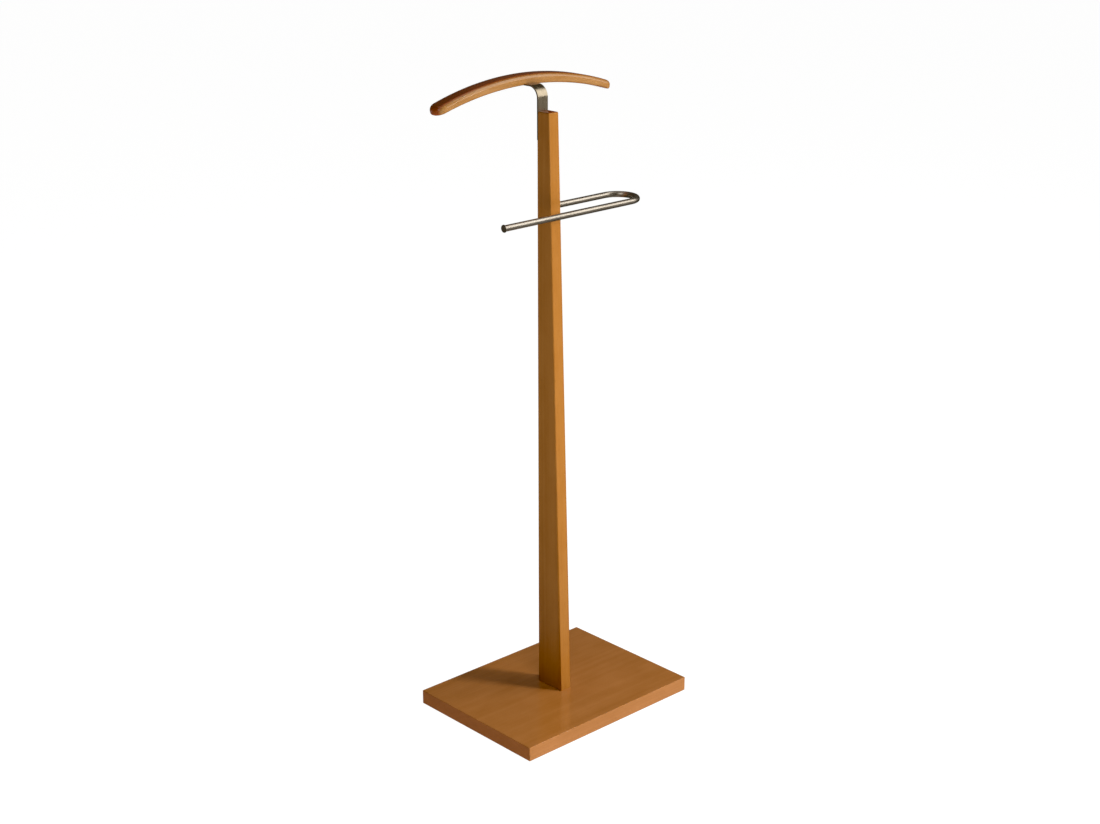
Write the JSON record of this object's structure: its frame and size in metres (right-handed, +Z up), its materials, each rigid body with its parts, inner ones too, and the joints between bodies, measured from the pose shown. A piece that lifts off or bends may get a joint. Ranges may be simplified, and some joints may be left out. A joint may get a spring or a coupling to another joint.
{
  "type": "clothes valet stand",
  "caption": "Free-standing clothes valet: a tapered wooden column on a flat base board, a curved jacket hanger on a bent steel strap, and a U-shaped steel trouser bar.",
  "frame": {"origin": "on the floor under the middle of the base board", "axes": "+Z up, X along the hanger and the trouser bar with the bar's bend at +X, the front at -Y and the hanger behind the column at +Y"},
  "size_m": [0.406, 0.3, 1.1725],
  "materials": {
    "board_beech": "honey-stained beech, satin lacquer",
    "column_beech": "honey-stained beech, satin lacquer",
    "hanger_beech": "honey-stained beech, satin lacquer",
    "raw_beech": "raw beech",
    "strap_nickel": "steel strap, satin nickel plated",
    "tube_nickel": "steel tube, brushed, satin nickel plated",
    "zinc_steel": "zinc-plated steel",
    "insert_brass": "plain turned brass",
    "glide_plastic": "matt dark grey plastic"
  },
  "bodies": {
    "root": {"base_board": "board_beech", "floor_glide_1": "glide_plastic", "floor_glide_2": "glide_plastic", "floor_glide_3": "glide_plastic", "floor_glide_4": "glide_plastic", "column": "column_beech", "foot_dowel_front": "raw_beech", "foot_dowel_rear": "raw_beech", "foot_insert_front": "insert_brass", "foot_insert_rear": "insert_brass", "foot_washer_front": "zinc_steel", "foot_washer_rear": "zinc_steel", "foot_bolt_front": "zinc_steel", "foot_bolt_rear": "zinc_steel", "hanger_bracket": "strap_nickel", "bracket_screw_lower": "zinc_steel", "bracket_screw_upper": "zinc_steel", "jacket_hanger": "hanger_beech", "hanger_screw_front": "zinc_steel", "hanger_screw_rear": "zinc_steel", "trouser_bar": "tube_nickel", "bar_end_cap": "tube_nickel", "bar_root_plug": "zinc_steel", "bar_lock_insert": "insert_brass", "bar_lock_screw": "zinc_steel"}
  },
  "joints": []
}
